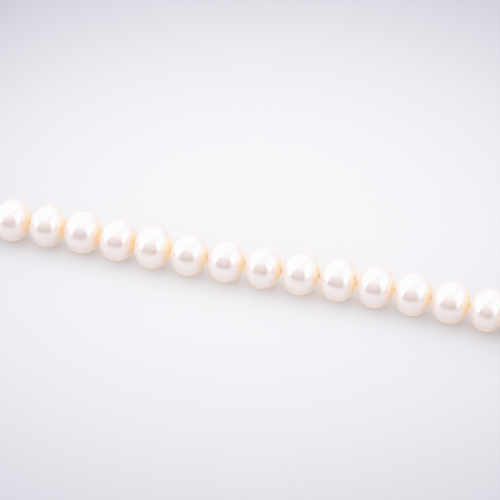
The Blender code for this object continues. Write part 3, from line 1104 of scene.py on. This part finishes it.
@dataclass
class WireRings:
    """Rings bent from round wire. Their ends meet in a fine line, or are soldered with a low swell.

    The turns, in degrees, are where each kind of ring has its seam.
    """

    jump_wire: float = 0.4 * MM
    catch_wire: float = 0.5 * MM
    jump_turn: float = 58.0
    catch_turn: float = -118.0
    steps: int = 128
    sides: int = 20
    open_seam: float = 0.022
    soldered_seam: float = 0.002
    solder: float = 0.09
    tree: GeometryGraph = field(init=False)

    def __post_init__(self) -> None:
        """Builds the ring tree."""
        graph = GeometryGraph("wire_ring")
        radius = graph.size("Radius", 2.2 * MM)
        wire = graph.size("Wire", 0.4 * MM)
        seam = graph.size("Seam", self.open_seam)
        swell = graph.size("Swell", 0.0)
        inputs = {"Resolution": self.steps, "Radius": radius, "Start Angle": seam}
        inputs["Sweep Angle"] = math.tau - seam * 2
        line = graph.signal("GeometryNodeCurveArc", {"mode": "RADIUS"}, inputs)
        share = graph.signal("GeometryNodeSplineParameter", output="Factor")
        near_seam = abs(share - 0.5).smooth(0.46, 0.5)
        inputs = {"Curve": line, "Radius": 1 + near_seam * swell}
        line = graph.signal("GeometryNodeSetCurveRadius", inputs=inputs)
        inputs = {"Resolution": self.sides, "Radius": wire}
        profile = graph.signal("GeometryNodeCurvePrimitiveCircle", inputs=inputs)
        inputs = {"Curve": line, "Profile Curve": profile, "Fill Caps": True}
        inputs["Scale"] = graph.signal("GeometryNodeInputRadius")
        tube = graph.signal("GeometryNodeCurveToMesh", inputs=inputs)
        graph.finish(graph.signal("GeometryNodeSetShadeSmooth", inputs={"Geometry": tube}))
        self.tree = graph

    def bent(
        self, node: str, plane: Matrix, wire: float, soldered: bool, finish: bpy.types.Material
    ) -> bpy.types.Mesh:
        """A ring that takes its place and size from its node of the frame.

        Args:
            node: The ring's node.
            plane: A frame at the ring's centre. Its +X points at the seam and its +Z is the axis.
            wire: The wire's radius.
            soldered: Whether its ends are soldered.
            finish: The material.

        Returns:
            The ring, in place.
        """
        centre = plane.to_translation()
        radius = max(extent(node, centre, plane.col[1].to_3d())) - wire
        sizes = {"Radius": radius, "Wire": wire}
        sizes["Seam"] = self.soldered_seam if soldered else self.open_seam
        sizes["Swell"] = self.solder if soldered else 0.0
        mesh = self.tree.grow(bpy.data.meshes.new("empty"), sizes, finish)
        mesh.transform(plane)
        return mesh

    def build(self, finish: bpy.types.Material, ends: Sequence[StrandEnd]) -> None:
        """Bends both jump rings, and the catch ring for the last end."""
        for end in ends:
            turned = Matrix.Rotation(math.radians(self.jump_turn), 4, "Z")
            plane = Matrix((end.ahead, UP, end.ahead.cross(UP))).transposed().to_4x4()
            plane = Matrix.Translation(middle_of(end.ring)) @ plane @ turned
            mesh = self.bent(end.ring, plane, self.jump_wire, False, finish)
            fit(f"{end.name}_jump_ring", mesh, end.ring, end.ring)
        end, node, wire = ends[-1], "catch_ring", self.catch_wire
        low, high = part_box(node)
        outer = max(extent(node, middle_of(node), end.side))
        lean = math.asin(((high.z - low.z) / 2 - wire) / (outer - wire))
        turned = Matrix.Rotation(math.radians(self.catch_turn), 4, "Z")
        plane = axes_at(middle_of(node), end.ahead) @ Matrix.Rotation(lean, 4, "Y") @ turned
        mesh = self.bent(node, plane, wire, True, finish)
        fit("soldered_catch_ring", mesh, node, node)


# Clasp


@dataclass(frozen=True)
class ClaspSizes:
    """The lobster clasp, measured from the centre of its tail's eye on the surface.

    Past and beyond are how far a cutter reaches outside of what it cuts.
    """

    thickness: float = 2.6 * MM
    tail_from_ring: float = 1.95 * MM
    tail_radius: float = 1.25 * MM
    tail_wire: float = 0.45 * MM
    tail_height: float = 1.75 * MM
    hub_rear: tuple[float, float] = (1.1 * MM, 1.3 * MM)
    hub_front: tuple[float, float] = (4.9 * MM, 1.9 * MM)
    claw_centre: tuple[float, float] = (7.2 * MM, 0.0)
    claw_outer: tuple[float, float] = (4.0 * MM, 3.2 * MM)
    claw_inner: tuple[float, float] = (2.3 * MM, 1.75 * MM)
    claw_tip: float = 5.5 * MM
    rivet: tuple[float, float] = (3.7 * MM, -0.6 * MM)
    rivet_radius: float = 0.4 * MM
    rivet_room: float = 0.1 * MM
    slot_rear: float = 2.0 * MM
    slot_past_rivet: float = 1.35 * MM
    slot_height: float = 1.3 * MM
    lever_thickness: float = 1.0 * MM
    lever_hub: float = 1.0 * MM
    lever_outer: tuple[float, float] = (3.6 * MM, 2.92 * MM)
    lever_inner: tuple[float, float] = (2.7 * MM, 2.0 * MM)
    lever_tab: float = 1.3 * MM
    lever_bore: float = 0.5 * MM
    gate_gap: float = 0.3 * MM
    tab_thickness: float = 1.7 * MM
    tab_lip: float = 0.12 * MM
    tab_depth: float = 0.55 * MM
    tab_corner: float = 0.2 * MM
    grooves: int = 5
    groove_radius: float = 0.085 * MM
    groove_pitch: float = 0.25 * MM
    groove_rise: float = 0.13 * MM
    corner: float = 0.35 * MM
    rivet_rim: float = 0.06 * MM
    rivet_sunk: float = 0.1 * MM
    spring_wire: float = 0.09 * MM
    spring_room: float = 0.06 * MM
    past: float = 1.0 * MM
    beyond: float = 4.0 * MM


@dataclass
class LobsterClasp:
    """The lobster clasp: a cast body, a lever with its gate and thumb tab, a rivet and a spring."""

    end: StrandEnd
    sizes: ClaspSizes = ClaspSizes()
    body_casting: Casting = Casting(0.09 * MM, 24)
    lever_casting: Casting = Casting(0.06 * MM, 6)

    def build(self, gilt: bpy.types.Material, steel: bpy.types.Material) -> None:
        """Makes the four pieces and fits them.

        Args:
            gilt: The finish of the body and the lever.
            steel: The finish of the rivet and the spring.
        """
        centre = joint_at("clasp_lift")
        centre.z = 0
        place = axes_at(centre + self.end.ahead * self.sizes.tail_from_ring, self.end.ahead)
        x, y = self.sizes.rivet
        at_rivet = place @ Matrix.Translation((x, y, 0))
        claw, lever = self._body(gilt), self._lever(gilt)
        pin, spring = self._rivet(steel), self._spring(steel)
        for mesh, axes in ((claw, place), (lever, place), (pin, at_rivet), (spring, at_rivet)):
            mesh.transform(axes)
        fit("clasp_claw", claw, "clasp", "clasp_body")
        fit("clasp_gate_lever", lever, "clasp_lever", "clasp_lever")
        fit("clasp_pin", pin, "clasp", "clasp_rivet")
        fit("clasp_bow_spring", spring, "clasp", "clasp_spring")

    def _angle_at(self, radii: tuple[float, float], reach: float) -> float:
        """Where one of the claw's ellipses is this far from the rivet, on the gate's side.

        Args:
            radii: The ellipse's half sizes.
            reach: The distance from the rivet.

        Returns:
            The angle in degrees, to a tenth.
        """
        size = self.sizes

        def miss(tenth: int) -> float:
            """How far off the reach is at an angle in tenths of a degree."""
            spot = arc(size.claw_centre, radii, tenth / 10, tenth / 10, 1)[0]
            return abs(math.dist(size.rivet, spot) - reach)

        return min(range(-900, -99), key=miss) / 10

    def _body(self, finish: bpy.types.Material) -> bpy.types.Mesh:
        """The hub and claw cast in one with a round tail ring, then cut with a slot and a bore."""
        size = self.sizes
        rear, front = size.hub_rear, size.hub_front
        outline = [(rear[0], -rear[1]), (size.slot_rear, -front[1]), (front[0], -front[1])]
        inner_end = self._angle_at(size.claw_inner, size.claw_tip)
        outer_end = self._angle_at(size.claw_outer, size.claw_tip)
        outline += arc(size.claw_centre, size.claw_inner, 200, inner_end, 44)
        outline += arc(size.claw_centre, size.claw_outer, outer_end, 150, 56)
        outline.append(rear)
        blank = prism("clasp_body", rounded(outline, size.corner), 0, size.thickness)
        wire = disc((size.tail_radius, size.tail_height), size.tail_wire, 20)
        tail = spun("tail", wire, 64, closed=True)
        middle = size.thickness / 2
        far = front[0] + front[1]
        low, high = -size.beyond, size.rivet[1] + size.slot_past_rivet
        corners = [(size.slot_rear, low), (far, low), (far, high), (size.slot_rear, high)]
        half = size.slot_height / 2
        slot = prism("slot", corners, middle - half, middle + half)
        round_bore = disc(size.rivet, size.rivet_radius + size.rivet_room, 40)
        bore = prism("bore", round_bore, -size.past, size.thickness + size.past)
        tools = [("UNION", tail), ("DIFFERENCE", slot), ("DIFFERENCE", bore)]
        return machined(blank, tools, finish, self.body_casting)

    def _lever(self, finish: bpy.types.Material) -> bpy.types.Mesh:
        """The lever: a disc on the rivet, the gate that meets the claw, and a grooved thumb tab."""
        size = self.sizes
        x, y = size.rivet
        hub = size.lever_hub
        tab = -size.hub_front[1] - size.lever_tab
        reach = size.claw_tip - size.gate_gap
        outline = arc(size.rivet, (hub, hub), 20, 215, 26)
        outline += [(x - 0.9 * hub, tab + hub / 4), (x - 0.6 * hub, tab)]
        outline += [(x + 0.1 * hub, tab), (x + 0.4 * hub, tab + hub / 4)]
        outer_end = self._angle_at(size.lever_outer, reach)
        inner_end = self._angle_at(size.lever_inner, reach - size.gate_gap)
        outline += arc(size.claw_centre, size.lever_outer, -142, outer_end, 28)
        outline += arc(size.claw_centre, size.lever_inner, inner_end, -150, 28)
        middle = size.thickness / 2
        half = size.lever_thickness / 2
        blank = prism("clasp_lever", outline, middle - half, middle + half)
        bore = prism("bore", disc(size.rivet, size.lever_bore, 40), -size.past, size.beyond)
        lip, root = tab - size.tab_lip, tab + size.tab_depth
        pad = [(x - 0.95 * hub, lip), (x + 0.5 * hub, lip)]
        pad += [(x + 0.42 * hub, root), (x - 0.92 * hub, root)]
        pad = rounded(pad, size.tab_corner)
        half = size.tab_thickness / 2
        thumb = prism("thumb", pad, middle - half, middle + half)
        tools = [("DIFFERENCE", bore), ("UNION", thumb)]
        for step in range(size.grooves):
            spot = (x - 0.72 * hub + size.groove_pitch * step, tab - size.groove_rise)
            groove = prism("groove", disc(spot, size.groove_radius, 12), -size.past, size.beyond)
            tools.append(("DIFFERENCE", groove))
        return machined(blank, tools, finish, self.lever_casting)

    def _rivet(self, finish: bpy.types.Material) -> bpy.types.Mesh:
        """A pin with low domed heads, just under the body's surface at both ends."""
        size = self.sizes
        low, high = size.rivet_sunk, size.thickness - size.rivet_sunk
        radii = (size.rivet_radius, size.rivet_rim)
        foot = arc((0, low + size.rivet_rim), radii, -90, 0, 8)
        head = arc((0, high - size.rivet_rim), radii, 0, 90, 8)
        return dressed(spun("clasp_rivet", foot + head, 48), finish, TURNED_EDGE)

    def _spring(self, finish: bpy.types.Material) -> bpy.types.Mesh:
        """A bow of spring wire round the lever's hub."""
        size = self.sizes
        radius = size.lever_hub + size.spring_room + size.spring_wire
        flat = arc((0, 0), (radius, radius), 40, 170, 30)
        route = [Vector((x, y, size.thickness / 2)) for x, y in flat]
        wire = Winding("spring_wire", 1, size.spring_wire, 0.0, 0.2 * MM, sides=10, turn_steps=2)
        return wire.along(route_curve("bow", route), finish)


# The build


@dataclass(frozen=True)
class Panel:
    """A panel that faces the strand, placed from the camera's own azimuth in degrees."""

    name: str
    azimuth: float
    elevation: float
    distance: float
    size: tuple[float, float]
    radiance: float
    colour: tuple[float, float, float] = (0.88, 0.90, 1.0)


@dataclass
class Studio:
    """The floor, the lights and the camera."""

    aim: Vector
    azimuth: float = 16.1
    elevation: float = 40.0
    distance: float = 0.42
    lens: float = 143.0
    aim_right: float = -2.82 * MM
    aim_up: float = 3.72 * MM
    panels: tuple[Panel, ...] = (
        Panel("overhead", -150.0, 60.0, 0.55, (0.85, 0.62), 0.9),
        Panel("front_left", -94.0, 32.0, 0.60, (0.86, 0.60), 1.35),
        Panel("front_right", 72.0, 30.0, 0.60, (0.66, 0.56), 1.0),
    )
    # painted reflection: a dark card, seen only in reflections, for the unlit opening in front of the
    # camera
    painted_reflection_card: Panel = Panel("painted_reflection_card", -17.0, 29.0, 0.50, (1.26, 0.56), 0.0, (0.07, 0.04, 0.03))
    painted_reflection_top: Colour = (0.75, 0.72, 0.72, 1)
    painted_reflection_taper: float = 0.72
    horizon: Colour = (0.62, 0.60, 0.62, 1)
    sky: Colour = (0.90, 0.92, 1.0, 1)
    sky_height: float = 0.4
    sky_strength: float = 1.18
    floor_half: float = 3.0
    pool_ahead: float = 20 * MM
    film_speed: float = 2.25
    film_white: float = 0.922
    film_reach: float = 3.0
    film_points: int = 15

    def build(self) -> None:
        """Sets the stage."""
        self._floor()
        self._world()
        self._lights()
        self._painted_reflection_card()
        self._camera()
        self._film()

    def _film(self) -> None:
        """A high-key film response: bright tones roll off softly towards white."""
        view = bpy.context.scene.view_settings
        view.view_transform = "Standard"
        view.look = "None"
        view.use_curve_mapping = True
        mapping = view.curve_mapping
        mapping.use_clip = False
        curve = mapping.curves[3]
        curve.points[-1].location = (self.film_reach, 1.0 / self.film_white)
        for step in range(1, self.film_points):
            light = self.film_reach * step / self.film_points
            curve.points.new(light, (1 - math.exp(-self.film_speed * light)) / self.film_white)
        mapping.update()

    def _floor(self) -> None:
        """A wide sheet of pale paper under the necklace."""
        half = self.floor_half
        mesh = bpy.data.meshes.new("floor")
        corners = [(-half, -half, 0), (half, -half, 0), (half, half, 0), (-half, half, 0)]
        mesh.from_pydata(corners, [], [(0, 1, 2, 3)])
        # the middle of the paper's painted pool of light, a little ahead of the strand
        pool = self.aim - self._direction(0, 0) * self.pool_ahead
        mesh.materials.append(Sweep().material(Vector((pool.x, pool.y, 0))))
        floor = bpy.data.objects.new("floor", mesh)
        bpy.context.scene.collection.objects.link(floor)

    def _world(self) -> None:
        """The white tent round the strand: a little cool above and dimmer near the horizon."""
        world = bpy.data.worlds.new("room")
        world.use_nodes = True
        bpy.context.scene.world = world
        background = world.node_tree.nodes["Background"]
        graph = Graph(world.node_tree)
        facing = graph.signal("ShaderNodeTexCoord", output="Generated")
        rise = graph.part(facing, 2).smooth(0.0, self.sky_height)
        colour = graph.blend(rise, self.horizon, self.sky)
        graph.tree.links.new(colour.socket, background.inputs["Color"])
        background.inputs["Strength"].default_value = self.sky_strength

    def _lights(self) -> None:
        """Wide soft panels overhead and on both sides, with a gap in front for the camera."""
        for panel in self.panels:
            light = bpy.data.lights.new(panel.name, "AREA")
            light.shape = "RECTANGLE"
            light.size, light.size_y = panel.size
            light.color = panel.colour
            light.energy = panel.radiance * math.pi * panel.size[0] * panel.size[1]
            away = self._direction(panel.azimuth, panel.elevation)
            made = bpy.data.objects.new(panel.name, light)
            made.location = self.aim + away * panel.distance
            made.rotation_euler = (-away).to_track_quat("-Z", "Y").to_euler()
            made.visible_camera = False
            bpy.context.scene.collection.objects.link(made)

    def _painted_reflection_card(self) -> None:
        """A dark card in front, dark below and pale at its top, that stands in for the unlit opening
        the camera looks through: a painted reflection.

        Only reflections show it.
        """
        half_width, half_height = self.painted_reflection_card.size[0] / 2, self.painted_reflection_card.size[1] / 2
        mesh = bpy.data.meshes.new("painted_reflection_card")
        corners = [(-1, -1), (1, -1), (self.painted_reflection_taper, 1), (-self.painted_reflection_taper, 1)]
        points = [(x * half_width, y * half_height, 0) for x, y in corners]
        mesh.from_pydata(points, [], [(0, 1, 2, 3)])
        graph = ShaderGraph("painted_reflection_shader")
        # painted reflection: the card's colour rises from a dark foot to a pale top
        rise = graph.part(graph.place(), 1).smooth(-half_height / 2, half_height)
        dark = (*self.painted_reflection_card.colour, 1)
        graph.wire("Base Color", graph.blend(rise, dark, self.painted_reflection_top))
        graph.fixed(Roughness=1.0, Specular_IOR_Level=0.0)
        mesh.materials.append(graph.material)
        away = self._direction(self.painted_reflection_card.azimuth, self.painted_reflection_card.elevation)
        card = bpy.data.objects.new("painted_reflection_card", mesh)
        card.location = self.aim + away * self.painted_reflection_card.distance
        card.rotation_euler = away.to_track_quat("Z", "Y").to_euler()
        card.visible_camera = False
        card.visible_shadow = False
        card.visible_diffuse = False
        bpy.context.scene.collection.objects.link(card)

    def _direction(self, azimuth: float, elevation: float) -> Vector:
        """A unit direction, its azimuth counted from the camera's, in degrees to the right."""
        turn = math.radians(self.azimuth + azimuth)
        rise = math.radians(elevation)
        level = Vector((math.sin(turn), -math.cos(turn), 0))
        return level * math.cos(rise) + UP * math.sin(rise)

    def _camera(self) -> None:
        """Looks down on the strand's front from the right of its middle."""
        towards = self._direction(0, self.elevation)
        right = UP.cross(towards).normalized()
        above = towards.cross(right)
        aim = self.aim + right * self.aim_right + above * self.aim_up
        data = bpy.data.cameras.new("camera")
        data.lens = self.lens
        camera = bpy.data.objects.new("camera", data)
        turned = Matrix((right, above, towards)).transposed().to_4x4()
        camera.matrix_world = Matrix.Translation(aim + towards * self.distance) @ turned
        bpy.context.scene.collection.objects.link(camera)
        bpy.context.scene.camera = camera


def main() -> None:
    """Builds the necklace in order."""
    logging.basicConfig(level=logging.INFO, format="%(name)s: %(message)s")
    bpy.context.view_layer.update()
    seats = pearl_seats()
    Studio(seats[len(seats) // 2].middle).build()
    nacre = Nacre().material()
    silk = SilkThread().material()
    gilt = Metal("gilt", (0.89, 0.66, 0.30, 1), (0.80, 0.55, 0.24, 1), Polish.BRIGHT).material()
    steel = Metal("steel", (0.58, 0.58, 0.60, 1), (0.46, 0.46, 0.48, 1), Polish.DULL).material()
    ends = [StrandEnd("clasp", 1), StrandEnd("catch", len(seats))]
    PearlStrand().build(nacre)
    StringingSilk().build(silk, ends)
    coil = GimpCoil()
    for end in ends:
        coil.build(gilt, end)
    WireRings().build(gilt, ends)
    LobsterClasp(ends[0]).build(gilt, steel)


if __name__ == "__main__":
    main()
